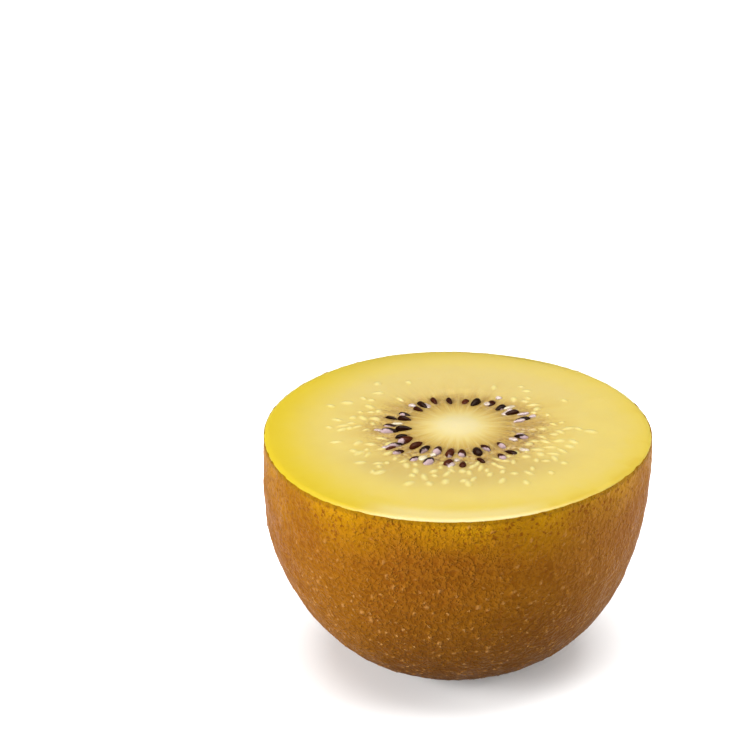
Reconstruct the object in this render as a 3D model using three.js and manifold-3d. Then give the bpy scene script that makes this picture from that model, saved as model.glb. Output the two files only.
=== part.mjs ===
// Half a golden kiwi fruit, cut across its middle and set down on its stem end.
// Millimetres, +Z up. The origin is the centre of the flat spot that it rests on, and the cut
// face looks up. Skin, flesh, core and seeds grew as one piece, so they are one solid.

import * as THREE from "three";
import { mergeVertices } from "three/addons/utils/BufferGeometryUtils.js";
import Module from "manifold-3d";

// The half as a whole
const CUT_RADIUS = 26.5; // a fruit 53 mm across where it is cut
const CUT_HEIGHT = 34; // from the resting spot to the cut face
const END_TRIM = 0.4; // how much of the rounded end the resting spot takes off
const SIDE_POWER = 2.9; // how long the side stays upright below the cut
const END_POWER = 2.25; // how blunt the end is
const SWELL_HEIGHT = 0.3; // soft swells that make the half a little three-cornered
const SWELLS = 3;
const SWELL_SIDE = 0.06; // the angle of a swell at the cut
const SWELL_TURN = 0.065; // how far a swell turns in each millimetre down the side
const LOBE_HEIGHT = 0.07; // soft lobes that run up the skin
const LOBES = 6;

// The stem end, a shallow dimple inside the flat ring, with a woody scar in it
const DIMPLE_RADIUS = 3.8;
const DIMPLE_DEPTH = 1.5;
const SCAR_RADIUS = 1.7;
const SCAR_EDGE = 0.3; // how wide the slope round the scar's disc is
const SCAR_HEIGHT = 0.55; // of the scar's disc over the resting spot

// The cut edge and the relief of the cut face
const EDGE_ROUND = 0.9;
const CORE_X = 0.4; // the core grew a little off the middle
const CORE_Y = 0.9;
const CORE_RADIUS = 6; // where the swelling of the core ends
const CORE_RISE = 0.3;
const RING_RADIUS = 9.2; // middle of the ring that holds the seeds
const RING_HALF_WIDTH = 3.6;
const RING_SINK = 0.22;
const WALL_HEIGHT = 0.08; // thin walls between the seed chambers
const CHAMBERS = 28;

// Seeds, drop-shaped, with their points towards the core
const SEED_LENGTH = 2.2;
const SEED_WIDTH = 1.3;
const SEED_THICKNESS = 1.2;
const SEED_PLUMPNESS = 0.28; // how much fuller the outer end is
const SEED_SINK = 0.05; // the least that a seed's middle lies below the face
const SEED_SINK_SPREAD = 0.2;
const SEED_SCALE = 0.85; // the smallest seed against the size above
const SEED_SCALE_SPREAD = 0.3;
const SEED_TWIST = 0.4; // range of turns away from pointing at the core

// Rows of seeds. A chamber holds one in a row by a chance that swings up or down towards one side.
const SEED_ROWS = [
  { radius: 7.7, chance: 0.96, swing: -0.96, side: 0, narrowing: 16 },
  { radius: 9.4, chance: 0.05, swing: 0.75, side: 3.2, narrowing: 6 },
  { radius: 9.3, chance: 0, swing: 0.8, side: 0, narrowing: 10 },
  { radius: 10.8, chance: 0, swing: 0.85, side: 4.2, narrowing: 0.8 },
];
const FAR_SHIFT = 0.9; // the rows lie this much farther out on the +Y side
const SEED_ANGLE_SPREAD = 0.5; // as a share of a chamber's angle
const SEED_RADIUS_SPREAD = 1.1;
const FIRST_DRAW = 542589;

// Mesh steps
const ROUND_STEPS = 4 * CHAMBERS;
const SIDE_STEPS = 16;
const EDGE_STEPS = 3;
const DIMPLE_STEPS = 2;
const FACE_STEPS = 9;
const FACE_STEPS_RADIUS = 13.5; // the face is plain from here to its edge
const SEED_SIDES = 8;
const SEED_STEPS = 6;
const NEARLY_ZERO = 1e-6;
const MERGE_DISTANCE = 1e-4;

const TURN = 2 * Math.PI;
const DRAW_FACTOR = 1664525;
const DRAW_STEP = 1013904223;
const DRAW_RANGE = 2 ** 32;

// One repeatable stream of numbers from 0 to 1.
function drawing(first) {
  let state = first;
  return () => {
    state = (state * DRAW_FACTOR + DRAW_STEP) % DRAW_RANGE;
    return state / DRAW_RANGE;
  };
}

// 1 in the middle of a band and 0 from its edges outwards.
function band(offset, halfWidth) {
  const share = Math.min(Math.abs(offset) / halfWidth, 1);
  return (1 + Math.cos(Math.PI * share)) / 2;
}

// The skin's radius at a depth below the cut face, on a true circle.
function sideRadius(depth) {
  const share = depth / (CUT_HEIGHT + END_TRIM);
  return CUT_RADIUS * (1 - share ** SIDE_POWER) ** (1 / END_POWER);
}

// A point of the cut face, given by its radius and angle round the core.
function facePoint(radius, angle) {
  const towardsCore = 1 - (radius / CUT_RADIUS) ** 2;
  const core = CORE_RISE * band(radius, CORE_RADIUS);
  const walls = WALL_HEIGHT * Math.cos(CHAMBERS * angle);
  const ring = (walls - RING_SINK) * band(radius - RING_RADIUS, RING_HALF_WIDTH);
  return new THREE.Vector3(
    radius * Math.cos(angle) + CORE_X * towardsCore,
    radius * Math.sin(angle) + CORE_Y * towardsCore,
    CUT_HEIGHT + core + ring,
  );
}

// How much larger than a true circle the fruit is at a point.
function growth(radius, angle, height) {
  const outward = (radius / CUT_RADIUS) ** 2;
  const lobes = LOBE_HEIGHT * Math.cos(LOBES * angle + height / CUT_RADIUS);
  const turned = SWELL_SIDE - SWELL_TURN * (CUT_HEIGHT - height);
  const swells = SWELL_HEIGHT * Math.cos(SWELLS * (angle - turned));
  return 1 + (outward * (lobes + swells)) / CUT_RADIUS;
}

// The outline that is turned round the axis: out of the dimple, up the side and in to the core.
function outline() {
  const points = [
    [0, SCAR_HEIGHT],
    [SCAR_RADIUS, SCAR_HEIGHT],
  ];
  for (let i = 0; i <= DIMPLE_STEPS; i++) {
    const scarEdge = SCAR_RADIUS + SCAR_EDGE;
    const radius = scarEdge + (i / DIMPLE_STEPS) * (DIMPLE_RADIUS - scarEdge);
    points.push([radius, DIMPLE_DEPTH * (1 - (radius / DIMPLE_RADIUS) ** 2)]);
  }
  const edge = CUT_HEIGHT - EDGE_ROUND;
  for (let i = 0; i <= SIDE_STEPS; i++) {
    // Equal steps of this angle crowd the rows where the end curves most.
    const height = edge * (1 - Math.cos(((i / SIDE_STEPS) * Math.PI) / 2));
    points.push([sideRadius(CUT_HEIGHT - height), height]);
  }
  const inner = CUT_RADIUS - EDGE_ROUND;
  for (let i = 1; i <= EDGE_STEPS; i++) {
    const turn = ((i / EDGE_STEPS) * Math.PI) / 2;
    points.push([inner + EDGE_ROUND * Math.cos(turn), edge + EDGE_ROUND * Math.sin(turn)]);
  }
  for (let i = FACE_STEPS; i >= 0; i--) {
    points.push([(i / FACE_STEPS) * FACE_STEPS_RADIUS, CUT_HEIGHT]);
  }
  return points.map(([radius, height]) => new THREE.Vector2(radius, height));
}

// The turned half, grown out of round, with the relief of its cut face.
function bodyGeometry() {
  const geometry = new THREE.LatheGeometry(outline(), ROUND_STEPS);
  geometry.rotateX(Math.PI / 2);
  const position = geometry.attributes.position;
  for (let i = 0; i < position.count; i++) {
    const turned = new THREE.Vector3().fromBufferAttribute(position, i);
    const radius = Math.hypot(turned.x, turned.y);
    const angle = Math.atan2(turned.y, turned.x);
    const onFace = turned.z > CUT_HEIGHT - NEARLY_ZERO;
    const point = onFace ? facePoint(radius, angle) : turned;
    const grown = growth(radius, angle, turned.z);
    position.setXYZ(i, point.x * grown, point.y * grown, point.z);
  }
  return geometry;
}

// A seed on the X axis with its point at -X.
function seedGeometry(scale) {
  const profile = [];
  for (let i = 0; i <= SEED_STEPS; i++) {
    const along = (i / SEED_STEPS) * Math.PI;
    const onAxis = i % SEED_STEPS === 0;
    const plump = Math.sin(along) * (1 - SEED_PLUMPNESS * Math.cos(along));
    profile.push(new THREE.Vector2(onAxis ? 0 : plump / 2, -Math.cos(along) / 2));
  }
  const geometry = new THREE.LatheGeometry(profile, SEED_SIDES);
  geometry.rotateZ(-Math.PI / 2);
  return geometry.scale(SEED_LENGTH * scale, SEED_WIDTH * scale, SEED_THICKNESS * scale);
}

// Where each seed lies: chamber by chamber round the core, and in each from the inner row out.
function seedPlaces() {
  const draw = drawing(FIRST_DRAW);
  const places = [];
  for (let chamber = 0; chamber < CHAMBERS; chamber++) {
    const middle = (TURN * (chamber + 0.5)) / CHAMBERS;
    const farther = FAR_SHIFT * Math.max(0, Math.sin(middle));
    for (const row of SEED_ROWS) {
      const facing = Math.max(0, Math.cos(middle - row.side)) ** row.narrowing;
      const kept = draw() < row.chance + row.swing * facing;
      const place = {
        angle: middle + (draw() - 0.5) * SEED_ANGLE_SPREAD * (TURN / CHAMBERS),
        radius: row.radius + farther + (draw() - 0.5) * SEED_RADIUS_SPREAD,
        twist: (draw() - 0.5) * SEED_TWIST,
        scale: SEED_SCALE + draw() * SEED_SCALE_SPREAD,
        sink: SEED_SINK + draw() * SEED_SINK_SPREAD,
      };
      if (kept) places.push(place);
    }
  }
  return places;
}

// A seed turned and moved to its place on the cut face.
function placedSeed({ angle, radius, twist, scale, sink }) {
  const geometry = seedGeometry(scale).rotateZ(angle + twist);
  const place = facePoint(radius, angle);
  return geometry.translate(place.x, place.y, place.z - sink);
}

const wasm = await Module();
wasm.setup();

// A closed three.js geometry as a solid that can be joined.
function solidOf(geometry) {
  const bare = geometry.clone();
  bare.deleteAttribute("normal");
  bare.deleteAttribute("uv");
  const merged = mergeVertices(bare, MERGE_DISTANCE);
  return new wasm.Manifold(
    new wasm.Mesh({
      numProp: 3,
      vertProperties: merged.attributes.position.array,
      triVerts: new Uint32Array(merged.index.array),
    }),
  );
}

// A joined solid as a three.js geometry.
function geometryOf(solid) {
  const mesh = solid.getMesh();
  const geometry = new THREE.BufferGeometry();
  geometry.setAttribute("position", new THREE.BufferAttribute(mesh.vertProperties, 3));
  geometry.setIndex(new THREE.BufferAttribute(mesh.triVerts, 1));
  geometry.computeVertexNormals();
  return geometry;
}

let half = solidOf(bodyGeometry());
for (const place of seedPlaces()) half = half.add(solidOf(placedSeed(place)));

const kiwiHalf = new THREE.Mesh(
  geometryOf(half),
  new THREE.MeshStandardMaterial({ color: 0xd9a93a, roughness: 0.5, metalness: 0 }),
);
kiwiHalf.name = "kiwi_half";

const root = new THREE.Group();
root.add(kiwiHalf);

export default root;
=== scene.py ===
"""Half a golden kiwi fruit, cut across its middle, standing on its stem end on a white table."""

import math
import random

import bpy
import numpy as np
from mathutils import Matrix, Vector, noise


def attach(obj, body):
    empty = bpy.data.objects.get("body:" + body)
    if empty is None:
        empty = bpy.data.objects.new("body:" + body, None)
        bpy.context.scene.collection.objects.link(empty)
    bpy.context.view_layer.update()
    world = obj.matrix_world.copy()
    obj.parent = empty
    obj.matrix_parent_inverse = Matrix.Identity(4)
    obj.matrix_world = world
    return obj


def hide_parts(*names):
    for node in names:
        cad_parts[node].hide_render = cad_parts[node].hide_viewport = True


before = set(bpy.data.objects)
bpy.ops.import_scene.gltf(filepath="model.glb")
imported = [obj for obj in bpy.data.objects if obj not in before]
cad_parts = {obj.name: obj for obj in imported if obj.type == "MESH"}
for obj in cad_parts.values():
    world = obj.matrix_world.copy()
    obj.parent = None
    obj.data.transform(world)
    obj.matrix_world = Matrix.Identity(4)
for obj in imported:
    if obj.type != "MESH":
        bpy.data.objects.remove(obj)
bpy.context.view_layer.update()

# All sizes are millimetres until a mesh is made
MM = 0.001
TURN = 2 * math.pi

# The half, as in the solid
CUT_RADIUS = 26.5
CUT_HEIGHT = 34
END_TRIM = 0.4
SIDE_POWER = 2.9
END_POWER = 2.25
SWELL_HEIGHT = 0.3
SWELLS = 3
SWELL_SIDE = 0.06
SWELL_TURN = 0.065
LOBE_HEIGHT = 0.07
LOBES = 6
DIMPLE_RADIUS = 3.8
DIMPLE_DEPTH = 1.5
SCAR_RADIUS = 1.85  # of the rough disc, which also covers the slope round the solid's disc
SCAR_HEIGHT = 0.55
CORE_X = 0.4
CORE_Y = 0.9
CORE_RADIUS = 6
CORE_RISE = 0.3
RING_RADIUS = 9.2
RING_HALF_WIDTH = 3.6
RING_SINK = 0.22
WALL_HEIGHT = 0.08
CHAMBERS = 28

# Seeds, by the same rule and draws as in the solid
SEED_LENGTH = 2.2
SEED_WIDTH = 1.3
SEED_THICKNESS = 1.2
SEED_PLUMPNESS = 0.28
SEED_SINK = 0.05
SEED_SINK_SPREAD = 0.2
SEED_SCALE = 0.85
SEED_SCALE_SPREAD = 0.3
SEED_TWIST = 0.4
SEED_ROWS = (
    {"radius": 7.7, "chance": 0.96, "swing": -0.96, "side": 0, "narrowing": 16},
    {"radius": 9.4, "chance": 0.05, "swing": 0.75, "side": 3.2, "narrowing": 6},
    {"radius": 9.3, "chance": 0, "swing": 0.8, "side": 0, "narrowing": 10},
    {"radius": 10.8, "chance": 0, "swing": 0.85, "side": 4.2, "narrowing": 0.8},
)
FAR_SHIFT = 0.9
SEED_ANGLE_SPREAD = 0.5
SEED_RADIUS_SPREAD = 1.1
FIRST_DRAW = 542589
DRAW_FACTOR = 1664525
DRAW_STEP = 1013904223
DRAW_RANGE = 2 ** 32

SEED_SLIMNESS = (0.62, 1.0)  # the range of widths against the width above
SEED_STRETCH = 1.06  # how much longer a seed is, points included, than the solid's plump drop
SEED_LOOKS = 12  # picks the run of chance draws for the seeds' widths, tones, and films with their painted highlights
# How many seeds carry the whitish film and painted highlight
FILM_AND_HIGHLIGHT_SHARE = 0.75
DROP_ROWS = 14
DROP_STEPS = 20

# Whitish sacs between the seeds
SACS = 20
SAC_PLACES = 21  # picks the run of chance draws for the sacs
SAC_BAND = (8, 11.5)  # the radii that they lie between
SAC_LENGTHS = (0.8, 1.9)
SAC_WIDTHS = (0.6, 1.1)
SAC_THICKNESS = 0.5
SAC_PLUMPNESS = 0.2
SAC_LUMP_SIZE = 0.6
SAC_LUMPS = 0.25  # how far lumps change their size

# Stem scar
SCAR_STEPS = 96
SCAR_ROUGH_RISE = 0.4  # how far up its side the disc is rough

# Skin
SKIN_THICKNESS = 0.3
SKIN_RAGGED = 0.1  # how far its cut edge wanders up and down
RAGGED_SIZE = 1.3
SKIN_CORNER = 0.05  # how far the cut edge's outer corner lies below the rest of it
SKIN_STEPS = 560
SKIN_ROW = 0.31
SKIN_INNER_ROW = 6.8  # on the hidden inner side, which is smooth
DIMPLE_ROWS = 14
FLAT_ROWS = 8
PEBBLE_SIZE = 0.9
PEBBLE_HEIGHT = 0.06
DENT_SIZE = 3.2
DENT_HEIGHT = 0.1
LENTICELS = 700
LENTICEL_PLACES = 5  # picks their run of chance draws
LENTICEL_SIZES = (0.22, 0.36)  # half lengths
LENTICEL_WIDTHS = (0.75, 1.1)  # against their lengths
LENTICEL_HEIGHT = 0.09
SKIN_LIGHT = 1.22  # how brightly the lamps light the skin's best lit side

# Cut face
RIM_STOP = 28  # the radius at which the flesh's run of colours would end
FACE_LIGHT = 2.3  # how brightly the lamps light it, against a white that just turns white
EDGE_WIDTH = 1.0  # the band where the wet face slopes down to the skin
EDGE_DROP = 0.25
EDGE_POWER = 2.2
FLESH_INSET = 0.1  # how far the flesh ends inside the skin's outer face
FLESH_DEPTH = 0.45  # how far it lies inside the skin below the cut
FACE_STEPS = 560
CORE_ROW = 0.4
RING_ROW = 0.2  # the rows lie closest where the seeds and kernels are
RING_START = 5
RING_END = 20
RIM_ROWS = 10
SLOPE_ROWS = 12
FLESH_LOW_ROW = 4.0  # on the hidden side under the skin
FIBRE_HEIGHT = 0.02
FIBRE_CIRCLE = 25  # radius of the ring of cloud noise that the fibres are read from
FIBRE_LENGTH = 5
FIBRE_RADIUS = 11  # middle of the band that they lie in
FIBRE_HALF_BAND = 8
WAVE_SIZE = 4.0
WAVE_HEIGHT = 0.06
KERNELS = 120
KERNEL_PLACES = 31  # picks their run of chance draws
KERNEL_RADIUS = 13.8
KERNEL_SPREAD = 2.3
KERNEL_BAND = (10.5, 19.5)  # the radii that they stay between
KERNEL_FAR_SHARE = 0.12  # how many lie on the far side, against those in front
KERNEL_LENGTHS = (0.4, 1.0)  # half lengths
KERNEL_WIDTHS = (0.34, 0.62)  # half widths
KERNEL_SLANT = 0.6
KERNEL_GAP = 1.2  # the least distance between the middles of two kernels
KERNEL_HEIGHT = 0.14
STAIN_AND_SHADE_HALF_LENGTH = 1.45  # of the tan stain and painted shade round a seed
STAIN_AND_SHADE_HALF_WIDTH = 0.9

# The white table and the light
TABLE_WHITE = 0.93
TABLE_REACH = 0.55  # metres from its middle to each side
ROOM_LIGHT = 0.156  # what the white room adds to the lamps

# The photograph's view
PICTURE_SIZE = 750
CUT_CENTRE_PIXEL = (455.0, 429.2)  # where the middle of the cut shows, from the top left corner
FOCAL_PIXELS = 2460  # the lens, as a distance in pixels
SENSOR = 36
CAMERA_DISTANCE = 12.7 * CUT_RADIUS
CAMERA_RISE = math.radians(26.1)


def band(offset, half_width):
    """1 in the middle of a band and 0 from its edges outwards."""
    share = np.minimum(np.abs(offset) / half_width, 1)
    return (1 + np.cos(np.pi * share)) / 2


def side_radius(depth):
    """The skin's radius at a depth below the cut face, on a true circle."""
    share = depth / (CUT_HEIGHT + END_TRIM)
    return CUT_RADIUS * (1 - share ** SIDE_POWER) ** (1 / END_POWER)


def face_height(radius, angle):
    """Height of the cut face at a radius and angle round the core."""
    core = CORE_RISE * band(radius, CORE_RADIUS)
    walls = WALL_HEIGHT * np.cos(CHAMBERS * angle)
    return CUT_HEIGHT + core + (walls - RING_SINK) * band(radius - RING_RADIUS, RING_HALF_WIDTH)


def face_place(radius, angle):
    """Where a radius and angle round the core lie on the cut face."""
    towards_core = 1 - (radius / CUT_RADIUS) ** 2
    x = radius * np.cos(angle) + CORE_X * towards_core
    y = radius * np.sin(angle) + CORE_Y * towards_core
    return x, y


def growth(radius, angle, height):
    """How much larger than a true circle the fruit is at a point."""
    outward = (radius / CUT_RADIUS) ** 2
    lobes = LOBE_HEIGHT * np.cos(LOBES * angle + height / CUT_RADIUS)
    turned_by = SWELL_SIDE - SWELL_TURN * (CUT_HEIGHT - height)
    swells = SWELL_HEIGHT * np.cos(SWELLS * (angle - turned_by))
    return 1 + outward * (lobes + swells) / CUT_RADIUS


def side_outline(row_step):
    """Radius and height from the end's flat ring up to the cut, in steps of about row_step."""
    fine = np.linspace(0, 1, 2000)
    depth = CUT_HEIGHT * np.cos(fine * np.pi / 2)
    radius = side_radius(depth)
    height = CUT_HEIGHT - depth
    run = np.concatenate([[0], np.cumsum(np.hypot(np.diff(radius), np.diff(height)))])
    even = np.linspace(0, run[-1], max(3, round(run[-1] / row_step)))
    return np.interp(even, run, radius), np.interp(even, run, height)


def dimple_height(radius):
    """Height of the dimple round the stem scar, open at the bottom."""
    return DIMPLE_DEPTH * np.clip(1 - (radius / DIMPLE_RADIUS) ** 2, 0, 1)


def turned(radius, height, steps):
    """Rings of points, one for each pair of radius and height, grown out of round."""
    angle = np.arange(steps) * TURN / steps
    radius = np.asarray(radius, float)[:, None]
    height = np.asarray(height, float)[:, None]
    wide = radius * growth(radius, angle[None], height)
    rings = np.stack([wide * np.cos(angle), wide * np.sin(angle), height + 0 * wide], axis=2)
    return rings, angle


def spots(along, around, angle, places):
    """A field over turned rings: 1 in the middle of each spot and 0 outside them all.

    A spot has a place along the outline, an angle, half a length, half a width and a slant.
    """
    field = np.zeros((len(along), len(angle)))
    for middle, turn, half_length, half_width, slant in places:
        rows = np.flatnonzero(np.abs(along - middle) < half_length)
        if not rows.size:
            continue
        ring = around[rows].mean()
        offset = ring * ((angle - turn + math.pi) % TURN - math.pi)
        columns = np.flatnonzero(np.abs(offset) < half_width + abs(slant) * half_length)
        lengthwise = (along[rows, None] - middle) / half_length
        crosswise = offset[None, columns] / half_width - slant * lengthwise * half_length / half_width
        spot = np.clip(1 - lengthwise ** 2 - crosswise ** 2, 0, 1)
        block = np.ix_(rows, columns)
        field[block] = np.maximum(field[block], spot)
    return field


def cloud_field(rings, size, pick):
    """Soft cloud noise from -1 to 1 at each point, about size across; pick chooses the clouds."""
    shift = Vector((pick, 0, 0))
    flat = rings.reshape(-1, 3) / size
    values = [noise.noise(Vector(point) + shift) for point in flat]
    return np.array(values).reshape(rings.shape[:2])


def outward(rings):
    """The direction out of the surface at each point of turned rings."""
    along = np.gradient(rings, axis=0)
    across = np.roll(rings, -1, axis=1) - np.roll(rings, 1, axis=1)
    normal = np.cross(across, along)
    length = np.linalg.norm(normal, axis=2, keepdims=True)
    return normal / np.maximum(length, 1e-9)


def ring_faces(rows, steps):
    """Faces that join rings to each other, with a single point at each end."""
    step = np.arange(steps)
    after = (step + 1) % steps
    faces = [(0, 1 + after[i], 1 + step[i]) for i in range(steps)]
    for row in range(rows - 3):
        low = 1 + row * steps
        high = low + steps
        quads = np.stack([low + step, low + after, high + after, high + step], axis=1)
        faces.extend(map(tuple, quads.tolist()))
    last = 1 + (rows - 3) * steps
    top = last + steps
    faces.extend((last + int(step[i]), last + int(after[i]), top) for i in range(steps))
    return faces


def body_points(field):
    """Values on rings as one list, with the first and last ring as single points."""
    flat = field[1:-1].reshape(-1, *field.shape[2:])
    return np.concatenate([field[0, :1], flat, field[-1, :1]])


def piece_of(name, bodies, material):
    """One mesh piece from closed bodies, each a pair of rings and fields by name."""
    points, faces, fields = [], [], {}
    start = 0
    for rings, tags in bodies:
        body = body_points(rings)
        points.append(body)
        corners = ring_faces(rings.shape[0], rings.shape[1])
        faces.extend(tuple(int(corner) + start for corner in face) for face in corners)
        for tag, field in tags.items():
            fields.setdefault(tag, []).append(body_points(field))
        start += len(body)
    mesh = bpy.data.meshes.new(name)
    mesh.from_pydata((np.concatenate(points) * MM).tolist(), [], faces)
    mesh.shade_smooth()
    for tag, values in fields.items():
        attribute = mesh.attributes.new(tag, "FLOAT", "POINT")
        attribute.data.foreach_set("value", np.concatenate(values).astype(np.float32))
    mesh.validate()
    piece = bpy.data.objects.new(name, mesh)
    bpy.context.scene.collection.objects.link(piece)
    mesh.materials.append(material)
    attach(piece, "root")
    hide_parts("kiwi_half")


def drawing(first):
    """One repeatable stream of numbers from 0 to 1."""
    state = first
    while True:
        state = (state * DRAW_FACTOR + DRAW_STEP) % DRAW_RANGE
        yield state / DRAW_RANGE


def seed_places():
    """Where each seed lies: chamber by chamber round the core, and from the inner row out."""
    draw = drawing(FIRST_DRAW)
    places = []
    for chamber in range(CHAMBERS):
        middle = TURN * (chamber + 0.5) / CHAMBERS
        farther = FAR_SHIFT * max(0, math.sin(middle))
        for row in SEED_ROWS:
            facing = max(0, math.cos(middle - row["side"])) ** row["narrowing"]
            kept = next(draw) < row["chance"] + row["swing"] * facing
            angle = middle + (next(draw) - 0.5) * SEED_ANGLE_SPREAD * TURN / CHAMBERS
            radius = row["radius"] + farther + (next(draw) - 0.5) * SEED_RADIUS_SPREAD
            twist = (next(draw) - 0.5) * SEED_TWIST
            scale = SEED_SCALE + next(draw) * SEED_SCALE_SPREAD
            sink = SEED_SINK + next(draw) * SEED_SINK_SPREAD
            if kept:
                places.append((radius, angle, twist, scale, sink))
    return places


def drop_rings(length, width, thickness, plumpness):
    """A drop along X with its point at -X."""
    along = np.linspace(0, np.pi, DROP_ROWS)
    plump = np.sin(along) * (1 - plumpness * np.cos(along)) / 2
    plump[[0, -1]] = 0
    angle = np.arange(DROP_STEPS) * TURN / DROP_STEPS
    x = -np.cos(along)[:, None] / 2 * length + 0 * angle[None]
    y = plump[:, None] * width * np.cos(angle)[None]
    z = plump[:, None] * thickness * np.sin(angle)[None]
    return np.stack([x, y, z], axis=2)


def on_face(rings, radius, angle, twist, lift):
    """A small body moved from the origin to its place on the cut face."""
    turn = Matrix.Rotation(angle + twist, 3, "Z")
    x, y = face_place(radius, angle)
    place = np.array([x, y, face_height(radius, angle) + lift])
    return rings @ np.array(turn).T + place


# Shader helpers


def paint(red, green, blue, light=1.0):
    """A colour as seen on a screen, 0 to 255, as the shader wants it where this much light falls."""
    def linear(value):
        share = value / 255
        curved = share / 12.92 if share <= 0.04045 else ((share + 0.055) / 1.055) ** 2.4
        return curved / light
    return (linear(red), linear(green), linear(blue), 1.0)


def cut_paint(red, green, blue):
    """A colour as seen on the brightly lit cut face."""
    return paint(red, green, blue, FACE_LIGHT)


def skin_paint(red, green, blue):
    """A colour as seen on the skin's lit side."""
    return paint(red, green, blue, SKIN_LIGHT)


class Nodes:
    """Adds nodes to one shader tree; most methods give the socket that holds their result."""

    def __init__(self, tree):
        self.tree = tree

    def add(self, kind, inputs=None, **settings):
        node = self.tree.nodes.new(kind)
        for name, value in settings.items():
            setattr(node, name, value)
        for name, value in (inputs or {}).items():
            self.feed(node.inputs[name], value)
        return node

    def feed(self, socket, value):
        if isinstance(value, bpy.types.NodeSocket):
            self.tree.links.new(value, socket)
        else:
            socket.default_value = value

    def math(self, operation, first, second=0.0):
        return self.add("ShaderNodeMath", {0: first, 1: second}, operation=operation).outputs[0]

    def times(self, first, *others):
        product = first
        for value in others:
            product = self.math("MULTIPLY", product, value)
        return product

    def vector(self, operation, first, second=(0, 0, 0)):
        node = self.add("ShaderNodeVectorMath", {0: first, 1: second}, operation=operation)
        return node.outputs[0]

    def scaled(self, vector, factor):
        node = self.add("ShaderNodeVectorMath", {0: vector, 3: factor}, operation="SCALE")
        return node.outputs[0]

    def fade(self, value, start, end, low=0.0, high=1.0):
        """low where value is start and high where it is end, with a soft run between."""
        inputs = {"Value": value, "From Min": start, "From Max": end, "To Min": low, "To Max": high}
        node = self.add("ShaderNodeMapRange", inputs, interpolation_type="SMOOTHSTEP")
        return node.outputs[0]

    def blend(self, share, first, second):
        node = self.add("ShaderNodeMix", data_type="RGBA")
        self.feed(node.inputs["Factor"], share)
        self.feed(node.inputs[6], first)
        self.feed(node.inputs[7], second)
        return node.outputs[2]

    def tinted(self, colour, mask, strength, tint):
        """The colour with some of a tint where the mask is 1."""
        return self.blend(self.times(mask, strength), colour, tint)

    def stops(self, value, colours):
        node = self.add("ShaderNodeValToRGB", {"Fac": value})
        ramp = node.color_ramp
        while len(ramp.elements) < len(colours):
            ramp.elements.new(0.5)
        for element, (place, colour) in zip(ramp.elements, colours):
            element.position = place
            element.color = colour
        return node.outputs["Color"]

    def tag(self, name):
        return self.add("ShaderNodeAttribute", attribute_name=name).outputs["Fac"]

    def millimetres(self):
        place = self.add("ShaderNodeTexCoord").outputs["Object"]
        return self.scaled(place, 1 / MM)

    def group(self, tree, inputs):
        node = self.add("ShaderNodeGroup", node_tree=tree)
        for name, value in inputs.items():
            self.feed(node.inputs[name], value)
        return node.outputs

    def mask(self, tree, place, **inputs):
        return self.group(tree, {"Place": place, **inputs})["Mask"]

    def bump(self, height, distance):
        return self.add("ShaderNodeBump", {"Height": height, "Distance": distance}).outputs["Normal"]


def new_group(name, inputs, outputs):
    """An empty shader node group: its tree, and its nodes, inputs and outputs to work with."""
    tree = bpy.data.node_groups.new(name, "ShaderNodeTree")
    for socket, kind, default in inputs:
        made = tree.interface.new_socket(socket, in_out="INPUT", socket_type=kind)
        if default is not None:
            made.default_value = default
    for socket, kind in outputs:
        tree.interface.new_socket(socket, in_out="OUTPUT", socket_type=kind)
    nodes = Nodes(tree)
    source = nodes.add("NodeGroupInput").outputs
    result = nodes.add("NodeGroupOutput").inputs
    return tree, nodes, source, result


def mottling_group():
    """Soft clouds, from 0 to 1, with features of a given size."""
    tree, nodes, source, result = new_group(
        "mottling",
        [
            ("Place", "NodeSocketVector", None),
            ("Size", "NodeSocketFloat", 4.0),
            ("Detail", "NodeSocketFloat", 3.0),
            ("Level", "NodeSocketFloat", 0.5),
            ("Contrast", "NodeSocketFloat", 0.2),
        ],
        [("Mask", "NodeSocketFloat")],
    )
    scale = nodes.math("DIVIDE", 1.0, source["Size"])
    cloud = nodes.add(
        "ShaderNodeTexNoise",
        {"Vector": source["Place"], "Scale": scale, "Detail": source["Detail"]},
    )
    low = nodes.math("SUBTRACT", source["Level"], source["Contrast"])
    high = nodes.math("ADD", source["Level"], source["Contrast"])
    nodes.feed(result["Mask"], nodes.fade(cloud.outputs["Fac"], low, high))
    return tree


def specks_group():
    """Small specks with a wandering outline, one in some of the cells of a given spacing."""
    tree, nodes, source, result = new_group(
        "specks",
        [
            ("Place", "NodeSocketVector", None),
            ("Spacing", "NodeSocketFloat", 1.0),
            ("Radius", "NodeSocketFloat", 0.2),
            ("Share", "NodeSocketFloat", 0.5),
            ("Plateau", "NodeSocketFloat", 0.4),
        ],
        [("Mask", "NodeSocketFloat")],
    )
    scale = nodes.math("DIVIDE", 1.0, source["Spacing"])
    ripple_scale = nodes.math("DIVIDE", 0.9, source["Radius"])
    ripple = nodes.add("ShaderNodeTexNoise", {"Vector": source["Place"], "Scale": ripple_scale})
    aside = nodes.vector("SUBTRACT", ripple.outputs["Color"], (0.5, 0.5, 0.5))
    aside = nodes.scaled(aside, nodes.times(source["Radius"], 2.6))
    place = nodes.vector("ADD", source["Place"], aside)
    cells = nodes.add("ShaderNodeTexVoronoi", {"Vector": place, "Scale": scale})
    distance = nodes.times(cells.outputs["Distance"], source["Spacing"])
    edge = nodes.times(source["Radius"], source["Plateau"])
    inside = nodes.fade(distance, source["Radius"], edge)
    chance = nodes.add("ShaderNodeSeparateColor", {"Color": cells.outputs["Color"]})
    kept = nodes.math("LESS_THAN", chance.outputs["Red"], source["Share"])
    nodes.feed(result["Mask"], nodes.times(inside, kept))
    return tree


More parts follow.
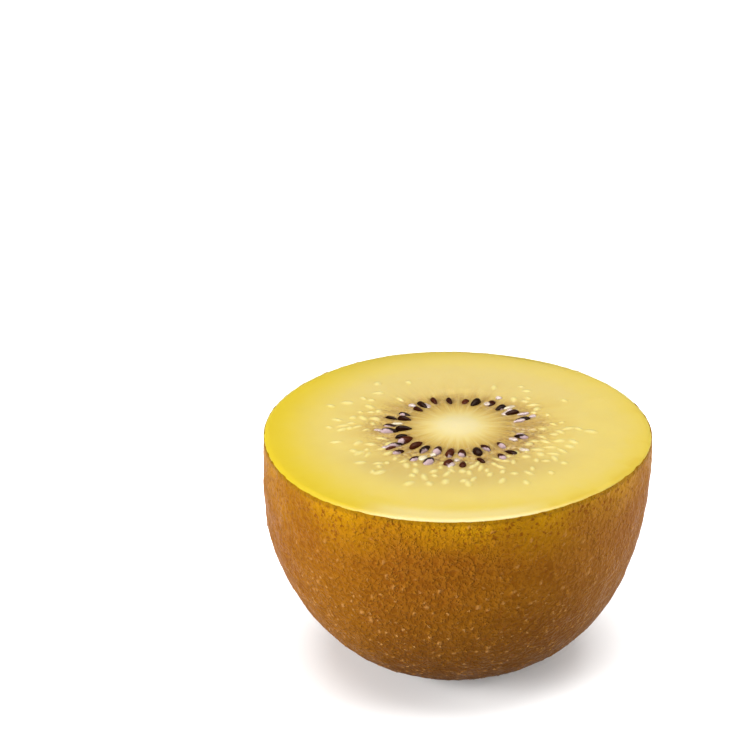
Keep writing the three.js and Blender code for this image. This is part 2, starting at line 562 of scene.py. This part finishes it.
def fibres_group():
    """Fine fibres that run out from a middle, from 0 to 1."""
    tree, nodes, source, result = new_group(
        "fibres",
        [
            ("From Middle", "NodeSocketVector", None),
            ("Round Count", "NodeSocketFloat", 150.0),
            ("Length", "NodeSocketFloat", 6.0),
            ("Contrast", "NodeSocketFloat", 0.2),
        ],
        [("Mask", "NodeSocketFloat"), ("Radius", "NodeSocketFloat")],
    )
    flat = nodes.vector("MULTIPLY", source["From Middle"], (1, 1, 0))
    radius = nodes.add("ShaderNodeVectorMath", {0: flat}, operation="LENGTH").outputs["Value"]
    direction = nodes.vector("NORMALIZE", flat)
    around = nodes.scaled(direction, nodes.math("DIVIDE", source["Round Count"], TURN))
    run = nodes.add("ShaderNodeCombineXYZ", {"Z": nodes.math("DIVIDE", radius, source["Length"])})
    place = nodes.vector("ADD", around, run.outputs[0])
    streak = nodes.add("ShaderNodeTexNoise", {"Vector": place, "Scale": 1.0, "Detail": 2.0})
    low = nodes.math("SUBTRACT", 0.5, source["Contrast"])
    high = nodes.math("ADD", 0.5, source["Contrast"])
    nodes.feed(result["Mask"], nodes.fade(streak.outputs["Fac"], low, high))
    nodes.feed(result["Radius"], radius)
    return tree


MOTTLING = mottling_group()
SPECKS = specks_group()
FIBRES = fibres_group()


def new_material(name, colour):
    """A material with its plain viewport colour, its nodes and its surface shader."""
    material = bpy.data.materials.new(name)
    material.use_nodes = True
    material.diffuse_color = colour
    nodes = Nodes(material.node_tree)
    surface = material.node_tree.nodes["Principled BSDF"]
    return material, nodes, surface


def flesh_run(nodes, radius, broad_fibres):
    """The run of colours from the core out to the rim, made wavy by the broad fibres."""
    wander = nodes.times(nodes.fade(broad_fibres, 0, 1, -1, 1), nodes.fade(radius, 2.5, 6))
    wavy = nodes.math("ADD", radius, nodes.times(wander, 0.8))
    return nodes.stops(nodes.math("DIVIDE", wavy, RIM_STOP), [
        (0.00, cut_paint(253, 237, 178)),
        (0.08, cut_paint(252, 234, 170)),
        (0.13, cut_paint(248, 224, 144)),
        (0.19, cut_paint(234, 202, 112)),
        (0.26, cut_paint(212, 174, 84)),
        (0.34, cut_paint(216, 180, 98)),
        (0.44, cut_paint(238, 206, 112)),
        (0.60, cut_paint(244, 218, 122)),
        (0.80, cut_paint(245, 218, 112)),
        (0.90, cut_paint(243, 214, 84)),
        (0.95, cut_paint(236, 202, 50)),
    ])


def seed_ring(nodes, colour, place, radius, y):
    """Tan mottles, brown flecks and cream crumbs between the seeds, most of them on the near side."""
    near_seeds = nodes.times(nodes.fade(radius, 6, 7.6), nodes.fade(radius, 14.5, 10))
    near_seeds = nodes.times(near_seeds, nodes.fade(y, 10, -2, 0.35, 1))
    mottles = nodes.mask(MOTTLING, place, Size=0.5, Level=0.54, Contrast=0.08)
    flecks = nodes.mask(SPECKS, place, Spacing=0.55, Radius=0.32, Share=0.65)
    elsewhere = nodes.vector("ADD", place, (7, 3, 5))
    crumbs = nodes.mask(SPECKS, elsewhere, Spacing=0.7, Radius=0.36, Share=0.5)
    colour = nodes.tinted(colour, nodes.times(mottles, near_seeds), 0.6, cut_paint(168, 126, 66))
    colour = nodes.tinted(colour, nodes.times(flecks, near_seeds), 0.7, cut_paint(140, 98, 56))
    return nodes.tinted(colour, nodes.times(crumbs, near_seeds), 0.6, cut_paint(250, 226, 172))


def chamber_walls(nodes, radius, x, y):
    """1 on the thin walls between the seed chambers, near the core."""
    around = nodes.math("ARCTAN2", y, x)
    wall = nodes.fade(nodes.math("COSINE", nodes.times(around, float(CHAMBERS))), 0.7, 1)
    by_core = nodes.times(nodes.fade(radius, 4.2, 5.6), nodes.fade(radius, 10.5, 7))
    return nodes.times(wall, by_core)


def flesh_sides(nodes, colour, radius, x, y):
    """How the flesh differs from side to side: a painted sheen on the far side, painted shade on the
    near side, riper on the left, duller at the far rim, and a painted highlight on the near rim.
    """
    # Painted sheen: paler on the far side of the face
    far_side_sheen = nodes.times(nodes.fade(y, 6, 11), nodes.fade(radius, 10, 11.5), nodes.fade(radius, 21, 18))
    # Painted shade: darker on the near side of the face
    before = nodes.times(nodes.fade(y, -7, -12), nodes.fade(radius, 11, 13), nodes.fade(radius, 21, 15))
    ripe = nodes.times(nodes.fade(x, -2, -25), nodes.fade(radius, 16, 26))
    far_rim = nodes.times(nodes.fade(y, 12, 25), nodes.fade(radius, 20, 26))
    # Painted highlight: a pale crescent on the near rim, where the wet edge slopes to the front
    facing_front = nodes.fade(nodes.math("DIVIDE", y, radius), -0.86, -0.98)
    front_rim_highlight = nodes.times(nodes.fade(radius, 23.6, 25.8), facing_front)
    colour = nodes.tinted(colour, far_side_sheen, 0.6, cut_paint(242, 216, 134))
    colour = nodes.tinted(colour, before, 0.5, cut_paint(210, 180, 104))
    colour = nodes.tinted(colour, ripe, 0.85, cut_paint(240, 210, 26))
    colour = nodes.tinted(colour, far_rim, 0.6, cut_paint(212, 186, 66))
    return nodes.tinted(colour, front_rim_highlight, 0.85, cut_paint(252, 230, 152))


def flesh_material():
    """Wet golden flesh: cream core, tan seed ring with fine fibres, deep yellow rim."""
    material, nodes, surface = new_material("golden_flesh", paint(238, 213, 118))
    place = nodes.millimetres()
    middle = nodes.vector("SUBTRACT", place, (CORE_X, CORE_Y, 0))
    sides = nodes.add("ShaderNodeSeparateXYZ", {0: middle}).outputs
    x, y = sides["X"], sides["Y"]
    fine = nodes.group(FIBRES, {"From Middle": middle, "Round Count": 150.0, "Length": 4.0})
    broad = nodes.group(FIBRES, {"From Middle": middle, "Round Count": 60.0, "Length": 7.0})
    radius = fine["Radius"]
    in_ring = nodes.times(nodes.fade(radius, 4.4, 6.6), nodes.fade(radius, 14.5, 9))
    fine_fibres = nodes.times(fine["Mask"], in_ring)
    tan_fibres = nodes.times(nodes.fade(broad["Mask"], 0.55, 0), in_ring)
    rays = nodes.times(broad["Mask"], nodes.fade(radius, 10, 15))
    colour = flesh_run(nodes, radius, broad["Mask"])
    colour = nodes.tinted(colour, fine_fibres, 0.14, cut_paint(190, 152, 70))
    colour = seed_ring(nodes, colour, place, radius, y)
    colour = nodes.tinted(colour, tan_fibres, 0.5, cut_paint(200, 162, 86))
    colour = nodes.tinted(colour, chamber_walls(nodes, radius, x, y), 0.3, cut_paint(244, 222, 146))
    colour = nodes.tinted(colour, rays, 0.14, cut_paint(250, 230, 146))
    colour = flesh_sides(nodes, colour, radius, x, y)
    # A tan stain and painted shade round each seed
    colour = nodes.tinted(colour, nodes.tag("seed_stain_and_shade"), 0.65, cut_paint(168, 126, 62))
    colour = nodes.blend(nodes.tag("kernel"), colour, cut_paint(252, 236, 152))
    nodes.feed(surface.inputs["Base Color"], colour)
    wetness = nodes.mask(MOTTLING, place, Size=5.0, Detail=0.0, Contrast=0.5)
    nodes.feed(surface.inputs["Roughness"], nodes.fade(wetness, 0, 1, 0.3, 0.38))
    nodes.feed(surface.inputs["Normal"], nodes.bump(fine_fibres, 0.03 * MM))
    surface.inputs["Specular IOR Level"].default_value = 0.25
    surface.inputs["Subsurface Weight"].default_value = 0.3
    surface.inputs["Subsurface Radius"].default_value = (1.0, 0.7, 0.2)
    surface.inputs["Subsurface Scale"].default_value = 1.5 * MM
    surface.inputs["Coat Weight"].default_value = 0.35
    surface.inputs["Coat Roughness"].default_value = 0.2
    return material


def skin_sides(nodes, colour, ragged, height, x):
    """How the skin's brown changes: a painted golden glow under the cut, painted shade towards the end,
    and a painted sheen on the right.
    """
    # Painted glow: the light that comes through the thin skin under the cut, as a golden band
    cut_glow = nodes.fade(ragged, CUT_HEIGHT - 8, CUT_HEIGHT)
    cut_glow = nodes.times(cut_glow, nodes.fade(x, -24, -8, 0.5, 1))
    under_cut_glow = nodes.fade(ragged, CUT_HEIGHT - 2.4, CUT_HEIGHT + 0.4)
    under_cut_glow = nodes.times(under_cut_glow, nodes.fade(x, -24, -8, 0.4, 1))
    # Painted shade: darker towards the end that rests on the table, less on the lit left
    end_shade = nodes.times(nodes.fade(height, 32, 2), nodes.fade(x, -24, -4, 0.1, 0.9))
    # Painted sheen: paler and greyer on the right
    right_sheen = nodes.fade(x, 10, 27)
    colour = nodes.tinted(colour, cut_glow, 0.68, skin_paint(156, 108, 2))
    colour = nodes.tinted(colour, under_cut_glow, 0.45, skin_paint(176, 130, 4))
    colour = nodes.blend(end_shade, colour, skin_paint(74, 42, 4))
    return nodes.tinted(colour, right_sheen, 0.35, skin_paint(142, 96, 54))


def skin_material():
    """Thin golden-brown skin with a short nap, mottled, with dark marks and pale specks."""
    material, nodes, surface = new_material("speckled_skin", paint(165, 105, 35))
    place = nodes.millimetres()
    sides = nodes.add("ShaderNodeSeparateXYZ", {0: place}).outputs
    x, height = sides["X"], sides["Z"]
    clouds = nodes.mask(MOTTLING, place, Size=11.0, Detail=2.0)
    blotches = nodes.mask(MOTTLING, place, Size=2.4, Detail=4.0)
    pebbles = nodes.mask(MOTTLING, place, Size=0.55, Detail=1.0, Contrast=0.12)
    ragged = nodes.math("ADD", height, nodes.fade(clouds, 0, 1, -1.2, 1.2))
    ragged = nodes.math("SUBTRACT", ragged, nodes.times(x, 0.015))
    colour = nodes.blend(clouds, skin_paint(115, 65, 6), skin_paint(125, 76, 4))
    colour = nodes.tinted(colour, blotches, 0.45, skin_paint(98, 54, 4))
    colour = nodes.tinted(colour, pebbles, 0.35, skin_paint(146, 94, 20))
    colour = skin_sides(nodes, colour, ragged, height, x)

    marks = nodes.mask(SPECKS, place, Spacing=0.8, Radius=0.36, Share=0.75)
    marks = nodes.times(marks, nodes.fade(ragged, CUT_HEIGHT - 9, CUT_HEIGHT - 1))
    scattered = nodes.mask(MOTTLING, place, Size=0.7, Detail=1.0, Level=0.66, Contrast=0.05)
    dark = nodes.math("MAXIMUM", marks, nodes.times(scattered, 0.4))
    bumps = nodes.mask(SPECKS, place, Spacing=0.95, Radius=0.5, Share=0.75, Plateau=0.0)
    specks = nodes.mask(SPECKS, place, Spacing=1.15, Radius=0.3, Share=0.6)
    specks = nodes.times(specks, nodes.fade(height, CUT_HEIGHT - 4, CUT_HEIGHT - 18))
    pale = nodes.math("MAXIMUM", specks, nodes.tag("lenticel"))
    colour = nodes.tinted(colour, dark, 0.7, skin_paint(100, 46, 3))
    colour = nodes.tinted(colour, bumps, 0.42, skin_paint(160, 104, 28))
    colour = nodes.tinted(colour, pale, 0.75, skin_paint(174, 124, 66))
    colour = nodes.tinted(colour, nodes.tag("cut_edge"), 0.6, skin_paint(120, 84, 8))
    nodes.feed(surface.inputs["Base Color"], colour)
    nodes.feed(surface.inputs["Roughness"], nodes.fade(blotches, 0, 1, 0.42, 0.6))
    relief = nodes.math("ADD", bumps, nodes.times(pale, 0.8))
    relief = nodes.math("ADD", relief, nodes.times(pebbles, 0.5))
    relief = nodes.math("SUBTRACT", relief, nodes.times(dark, 0.15))
    nodes.feed(surface.inputs["Normal"], nodes.bump(relief, 0.2 * MM))
    surface.inputs["Specular IOR Level"].default_value = 0.02
    surface.inputs["Sheen Weight"].default_value = 0.006
    surface.inputs["Sheen Roughness"].default_value = 0.3
    surface.inputs["Sheen Tint"].default_value = (1.0, 0.8, 0.58, 1.0)
    return material


def seed_material():
    """Brown-black seed, smooth and wet, with a whitish film on part of it, which is partly a painted
    highlight.
    """
    material, nodes, surface = new_material("wet_seed", paint(48, 26, 18))
    clouds = nodes.mask(MOTTLING, nodes.millimetres(), Size=0.5, Detail=2.0)
    # The whitish film, partly a painted highlight, torn by the clouds
    torn = nodes.math("SUBTRACT", nodes.tag("film_and_highlight"), nodes.times(clouds, 0.6))
    colour = nodes.blend(nodes.tag("tone"), paint(20, 7, 3), paint(62, 24, 8))
    colour = nodes.blend(nodes.fade(torn, 0.05, 0.5), colour, cut_paint(214, 184, 186))
    nodes.feed(surface.inputs["Base Color"], colour)
    nodes.feed(surface.inputs["Roughness"], nodes.fade(clouds, 0, 1, 0.2, 0.34))
    nodes.feed(surface.inputs["Normal"], nodes.bump(clouds, 0.02 * MM))
    surface.inputs["Specular IOR Level"].default_value = 0.07
    surface.inputs["Specular Tint"].default_value = (1.0, 0.74, 0.56, 1.0)
    surface.inputs["Coat Weight"].default_value = 0.03
    surface.inputs["Coat Roughness"].default_value = 0.06
    return material


def sac_material():
    """The whitish sac that clings to a seed."""
    material, nodes, surface = new_material("seed_sac", paint(205, 185, 190))
    clouds = nodes.mask(MOTTLING, nodes.millimetres(), Size=0.7, Detail=2.0)
    colour = nodes.blend(clouds, cut_paint(196, 160, 160), cut_paint(232, 208, 204))
    colour = nodes.blend(nodes.tag("cream"), colour, cut_paint(248, 234, 184))
    nodes.feed(surface.inputs["Base Color"], colour)
    nodes.feed(surface.inputs["Roughness"], nodes.fade(clouds, 0, 1, 0.15, 0.3))
    surface.inputs["Subsurface Weight"].default_value = 0.4
    surface.inputs["Subsurface Radius"].default_value = (1.0, 0.8, 0.6)
    surface.inputs["Subsurface Scale"].default_value = 0.5 * MM
    surface.inputs["Coat Weight"].default_value = 0.6
    surface.inputs["Coat Roughness"].default_value = 0.1
    return material


def scar_material():
    """Dry woody stem scar."""
    material, nodes, surface = new_material("woody_scar", paint(96, 70, 46))
    place = nodes.millimetres()
    grain = nodes.group(FIBRES, {"From Middle": place, "Round Count": 60.0, "Length": 1.0})["Mask"]
    pores = nodes.mask(SPECKS, place, Spacing=0.35, Radius=0.12, Share=0.6)
    colour = nodes.blend(grain, paint(70, 42, 20), paint(122, 84, 48))
    colour = nodes.tinted(colour, pores, 0.8, paint(42, 28, 18))
    nodes.feed(surface.inputs["Base Color"], colour)
    nodes.feed(surface.inputs["Roughness"], nodes.fade(grain, 0, 1, 0.75, 0.95))
    nodes.feed(surface.inputs["Normal"], nodes.bump(nodes.math("SUBTRACT", grain, pores), 0.08 * MM))
    surface.inputs["Specular IOR Level"].default_value = 0.1
    return material


# The pieces


def lenticel_places(reach):
    """Places for the larger breathing pores on the skin, more of them towards the end."""
    draw = random.Random(LENTICEL_PLACES)
    places = []
    while len(places) < LENTICELS:
        along = draw.uniform(0, reach)
        if draw.random() > 1 - 0.8 * along / reach:
            continue
        size = draw.uniform(*LENTICEL_SIZES)
        turn = draw.uniform(0, TURN)
        places.append((along, turn, size, size * draw.uniform(*LENTICEL_WIDTHS), 0))
    return places


def skin_outline():
    """Radii and heights of the skin: dimple, resting ring, side, cut edge and inner side.

    Also which of them are the outer side and which the cut edge.
    """
    end_radius = float(side_radius(CUT_HEIGHT))
    dimple = np.linspace(0, DIMPLE_RADIUS, DIMPLE_ROWS)
    flat = np.linspace(DIMPLE_RADIUS, end_radius, FLAT_ROWS + 1)[1:-1]
    side, side_height = side_outline(SKIN_ROW)
    below_cut = side_height < CUT_HEIGHT - EDGE_DROP - SKIN_ROW / 2
    side, side_height = side[below_cut], side_height[below_cut]
    rim = CUT_RADIUS - np.array([0, 0.3, 1]) * SKIN_THICKNESS
    rim_height = CUT_HEIGHT - EDGE_DROP - np.array([SKIN_CORNER, 0, 0])
    inner, inner_height = side_outline(SKIN_INNER_ROW)
    inner = inner[::-1][1:] - SKIN_THICKNESS
    inner_height = inner_height[::-1][1:] + SKIN_THICKNESS
    radius = np.concatenate([dimple, flat, side, rim, inner, [0]])
    height = np.concatenate([
        dimple_height(dimple), 0 * flat, side_height, rim_height, inner_height,
        [DIMPLE_DEPTH + SKIN_THICKNESS],
    ])
    outer = slice(0, len(dimple) + len(flat) + len(side))
    cut = slice(outer.stop - 1, outer.stop + len(rim))
    return radius, height, outer, cut


def skin_lift(rings, height, lenticel):
    """How far the relief stands out of the skin's outer side."""
    pebbles = cloud_field(rings, PEBBLE_SIZE, 3) * PEBBLE_HEIGHT
    dents = cloud_field(rings, DENT_SIZE, 8) * DENT_HEIGHT
    # The resting ring stays flat, and the relief is low at the cut
    free = np.clip((height - 0.25) / 2.5, 0, 1)
    free = (free * np.clip((CUT_HEIGHT - height) / 2, 0.2, 1))[:, None]
    return (pebbles + dents + LENTICEL_HEIGHT * lenticel) * free


def build_skin():
    """The skin as a thin closed shell with lenticels and a ragged cut edge."""
    radius, height, outer, cut = skin_outline()
    rings, angle = turned(radius, height, SKIN_STEPS)
    run = np.concatenate([[0], np.cumsum(np.hypot(np.diff(radius), np.diff(height)))])[outer]
    lenticel = np.zeros(rings.shape[:2])
    lenticel[outer] = spots(run, radius[outer], angle, lenticel_places(run[-1]))
    lift = np.zeros(rings.shape[:2])
    lift[outer] = skin_lift(rings[outer], height[outer], lenticel[outer])
    rings = rings + outward(rings) * lift[:, :, None]
    rings[cut, :, 2] += cloud_field(rings[cut], RAGGED_SIZE, 15) * SKIN_RAGGED
    cut_edge = np.zeros(rings.shape[:2])
    cut_edge[cut] = 1
    fields = {"lenticel": lenticel, "cut_edge": cut_edge}
    piece_of("skin", [(rings, fields)], skin_material())


def kernel_places():
    """Places for pale kernels in the flesh, outside the seeds and mostly on the near side."""
    draw = random.Random(KERNEL_PLACES)
    nearest, farthest = KERNEL_BAND
    places = []
    while len(places) < KERNELS:
        angle = draw.uniform(0, TURN)
        radius = draw.gauss(KERNEL_RADIUS, KERNEL_SPREAD)
        near = 0.5 - 0.5 * math.sin(angle)
        if not nearest < radius < farthest or draw.random() > KERNEL_FAR_SHARE + near:
            continue
        gaps = [abs(radius - other[0]) + radius * abs(angle - other[1]) for other in places]
        if gaps and min(gaps) < KERNEL_GAP:
            continue
        length = draw.uniform(*KERNEL_LENGTHS)
        width = draw.uniform(*KERNEL_WIDTHS)
        places.append((radius, angle, length, width, draw.uniform(-KERNEL_SLANT, KERNEL_SLANT)))
    return places


def flesh_outline():
    """Radii and heights of the flesh, from the bottom up its hidden side and in over the face.

    Also the radii of the face alone.
    """
    edge_radius = CUT_RADIUS - FLESH_INSET
    face_radius = edge_radius - EDGE_WIDTH
    rows = np.concatenate([
        np.arange(0, RING_START, CORE_ROW),
        np.arange(RING_START, RING_END, RING_ROW),
        np.linspace(RING_END, face_radius, RIM_ROWS),
    ])[::-1]
    slope = np.linspace(1, 0, SLOPE_ROWS + 1)[:-1]
    low_radius, low_height = side_outline(FLESH_LOW_ROW)
    below_edge = low_height < CUT_HEIGHT - EDGE_DROP - 1
    low_radius = low_radius[below_edge] - FLESH_DEPTH
    low_height = low_height[below_edge] + FLESH_DEPTH
    hidden_edge = CUT_HEIGHT - EDGE_DROP - FLESH_DEPTH
    radius = np.concatenate([
        [0], low_radius, [CUT_RADIUS - FLESH_DEPTH], face_radius + EDGE_WIDTH * slope, rows,
    ])
    height = np.concatenate([
        [DIMPLE_DEPTH + FLESH_DEPTH], low_height, [hidden_edge],
        CUT_HEIGHT - EDGE_DROP * slope ** EDGE_POWER, np.full(len(rows), float(CUT_HEIGHT)),
    ])
    return radius, height, rows


def face_relief(wide, turn):
    """Heights of the fine fibres and of the soft waves on the cut face."""
    fibre_place = np.stack([
        FIBRE_CIRCLE * np.cos(turn) + 0 * wide,
        FIBRE_CIRCLE * np.sin(turn) + 0 * wide,
        wide / FIBRE_LENGTH + 0 * turn,
    ], axis=2)
    fibres = cloud_field(fibre_place, 1.0, 4) * band(wide - FIBRE_RADIUS, FIBRE_HALF_BAND)
    x, y = face_place(wide, turn)
    waves = cloud_field(np.stack([x, y, 0 * x], axis=2), WAVE_SIZE, 6) * WAVE_HEIGHT
    return fibres * FIBRE_HEIGHT, waves * np.clip((wide.max() - wide) / 3, 0, 1)


def build_flesh(seeds):
    """The flesh as one closed body that fills the skin, with the relief of the cut face."""
    radius, height, rows = flesh_outline()
    rings, angle = turned(radius, height, FACE_STEPS)
    face = slice(len(radius) - len(rows), len(radius))
    wide = rows[:, None]
    turn = angle[None]
    kernel = spots(rows, rows, angle, kernel_places())
    # The tan stain and painted shade round each seed
    seed_stain_and_shade = spots(rows, rows, angle, [
        (seed_radius, seed_angle, STAIN_AND_SHADE_HALF_LENGTH * scale, STAIN_AND_SHADE_HALF_WIDTH * scale, 0)
        for seed_radius, seed_angle, _, scale, _ in seeds
    ])
    x, y = face_place(wide, turn)
    fibres, waves = face_relief(wide, turn)
    z = face_height(wide, turn) + fibres + waves + KERNEL_HEIGHT * kernel
    grown = growth(wide, turn, CUT_HEIGHT)
    rings[face] = np.stack([x * grown, y * grown, z], axis=2)
    fields = {"kernel": np.zeros(rings.shape[:2]), "seed_stain_and_shade": np.zeros(rings.shape[:2])}
    fields["kernel"][face] = kernel
    fields["seed_stain_and_shade"][face] = seed_stain_and_shade
    piece_of("flesh", [(rings, fields)], flesh_material())


def build_seeds(seeds):
    """The seeds, some slimmer than others, and most with a whitish film, partly a painted highlight,
    towards the front.
    """
    draw = random.Random(SEED_LOOKS)
    bodies = []
    for radius, angle, twist, scale, sink in seeds:
        length = SEED_LENGTH * SEED_STRETCH
        width = SEED_WIDTH * draw.uniform(*SEED_SLIMNESS)
        rings = drop_rings(length * scale, width * scale, SEED_THICKNESS * scale, SEED_PLUMPNESS)
        start, flank, film_and_highlight_draw = draw.uniform(0, 0.9), draw.uniform(-0.7, 0.7), draw.random()
        along = 2 * rings[:, :, 0] / (length * scale)
        across = 2 * rings[:, :, 1] / (width * scale)
        # The whitish film leans towards each seed's front, where it also stands for a painted highlight
        to_front = -along * math.sin(angle + twist) - across * math.cos(angle + twist)
        film_and_highlight = np.clip((0.4 * along + flank * across + 0.8 * to_front - start) * 1.8, 0, 1)
        film_and_highlight = film_and_highlight if film_and_highlight_draw < FILM_AND_HIGHLIGHT_SHARE else 0 * film_and_highlight
        tone = np.full(film_and_highlight.shape, draw.random() ** 3)
        bodies.append((on_face(rings, radius, angle, twist, -sink), {"tone": tone, "film_and_highlight": film_and_highlight}))
    piece_of("seeds", bodies, seed_material())


def build_sacs():
    """Whitish sacs between the seeds, a little out of shape."""
    draw = random.Random(SAC_PLACES)
    bodies = []
    for _ in range(SACS):
        radius, angle = draw.uniform(*SAC_BAND), draw.uniform(0, TURN)
        length, width = draw.uniform(*SAC_LENGTHS), draw.uniform(*SAC_WIDTHS)
        rings = drop_rings(length, width, SAC_THICKNESS, SAC_PLUMPNESS)
        lumps = cloud_field(rings + 10 * len(bodies), SAC_LUMP_SIZE, 2)
        rings = rings * (1 + SAC_LUMPS * lumps)[:, :, None]
        rings = on_face(rings, radius, angle, draw.uniform(-0.3, 0.3), 0)
        bodies.append((rings, {"cream": np.full(rings.shape[:2], draw.random() ** 2)}))
    piece_of("seed_sacs", bodies, sac_material())


def build_scar():
    """The rough disc where the stem broke off, in the dimple at the end."""
    radius = np.array([0, 0.3, 0.6, 0.9, 1.2, 1.45, 1.65, 1.8, 1.85, 1.8, 1.2, 0.6, 0])
    radius = radius * SCAR_RADIUS / radius.max()
    rise = np.array([0, 0, 0, 0, 0, 0.02, 0.06, 0.16, 0.35, 0.8, 1.1, 1.2, 1.2])
    rings, _ = turned(radius, SCAR_HEIGHT + rise, SCAR_STEPS)
    rough = cloud_field(rings, 0.45, 9) * 0.16 + cloud_field(rings, 0.2, 5) * 0.06
    rough = rough * (rise < SCAR_ROUGH_RISE)[:, None]
    rough[[0, -1]] = rough[[0, -1], :1]
    rings[:, :, 2] += rough
    piece_of("stem_scar", [(rings, {})], scar_material())


# The studio


def build_table():
    """A plain white table top."""
    mesh = bpy.data.meshes.new("table")
    sides = [(-1, -1), (1, -1), (1, 1), (-1, 1)]
    corners = [(x * TABLE_REACH, y * TABLE_REACH, 0) for x, y in sides]
    mesh.from_pydata(corners, [], [(0, 1, 2, 3)])
    table = bpy.data.objects.new("table", mesh)
    bpy.context.scene.collection.objects.link(table)
    material, _, surface = new_material("white_table", paint(245, 245, 245))
    surface.inputs["Base Color"].default_value = (TABLE_WHITE, TABLE_WHITE, TABLE_WHITE, 1.0)
    surface.inputs["Roughness"].default_value = 0.9
    surface.inputs["Specular IOR Level"].default_value = 0.1
    mesh.materials.append(material)


def add_softbox(name, place, width, watts, mirrored):
    """A square lamp that faces the middle of the half, and that wet surfaces may mirror."""
    data = bpy.data.lights.new(name, "AREA")
    data.size = width
    data.energy = watts
    lamp = bpy.data.objects.new(name, data)
    lamp.location = place
    lamp.visible_glossy = mirrored
    aim = Vector((0, 0, CUT_HEIGHT * MM)) - Vector(place)
    lamp.rotation_euler = aim.to_track_quat("-Z", "Y").to_euler()
    bpy.context.scene.collection.objects.link(lamp)


def build_light():
    """Four lamps in a dim white room, whose walls show as plain white behind the table."""
    world = bpy.data.worlds.new("studio")
    world.use_nodes = True
    background = world.node_tree.nodes["Background"]
    background.inputs["Color"].default_value = (1.0, 1.0, 1.0, 1.0)
    nodes = Nodes(world.node_tree)
    in_view = nodes.add("ShaderNodeLightPath").outputs["Is Camera Ray"]
    nodes.feed(background.inputs["Strength"], nodes.fade(in_view, 0, 1, ROOM_LIGHT, 1))
    bpy.context.scene.world = world
    add_softbox("overhead", (0, 0, 0.78), 0.8, 10.3, True)
    add_softbox("left", (-0.75, -0.42, 0.28), 0.5, 15.9, False)
    add_softbox("right", (0.85, 0.1, 0.22), 0.5, 7.9, False)
    add_softbox("high_right", (0.5, 0.1, 0.65), 0.5, 1.9, True)
    bpy.context.scene.view_settings.view_transform = "Standard"


def place_camera():
    """The photograph's camera: in front, above, and turned so that the half sits low right."""
    cut_centre = Vector((0, 0, CUT_HEIGHT)) * MM
    back = Vector((0, -math.cos(CAMERA_RISE), math.sin(CAMERA_RISE)))
    straight = (-back).to_track_quat("-Z", "Y").to_matrix()
    right_pixels = CUT_CENTRE_PIXEL[0] - PICTURE_SIZE / 2
    down_pixels = CUT_CENTRE_PIXEL[1] - PICTURE_SIZE / 2
    look_left = Matrix.Rotation(math.atan(right_pixels / FOCAL_PIXELS), 3, "Y")
    look_up = Matrix.Rotation(math.atan(down_pixels / FOCAL_PIXELS), 3, "X")
    data = bpy.data.cameras.new("camera")
    data.sensor_width = SENSOR
    data.lens = SENSOR * FOCAL_PIXELS / PICTURE_SIZE
    data.clip_start = 0.01
    camera = bpy.data.objects.new("camera", data)
    camera.matrix_world = (
        Matrix.Translation(cut_centre + back * CAMERA_DISTANCE * MM)
        @ (straight @ look_left @ look_up).to_4x4()
    )
    bpy.context.scene.collection.objects.link(camera)
    bpy.context.scene.camera = camera


place_camera()
build_table()
build_light()
build_skin()
seeds = seed_places()
build_flesh(seeds)
build_seeds(seeds)
build_sacs()
build_scar()
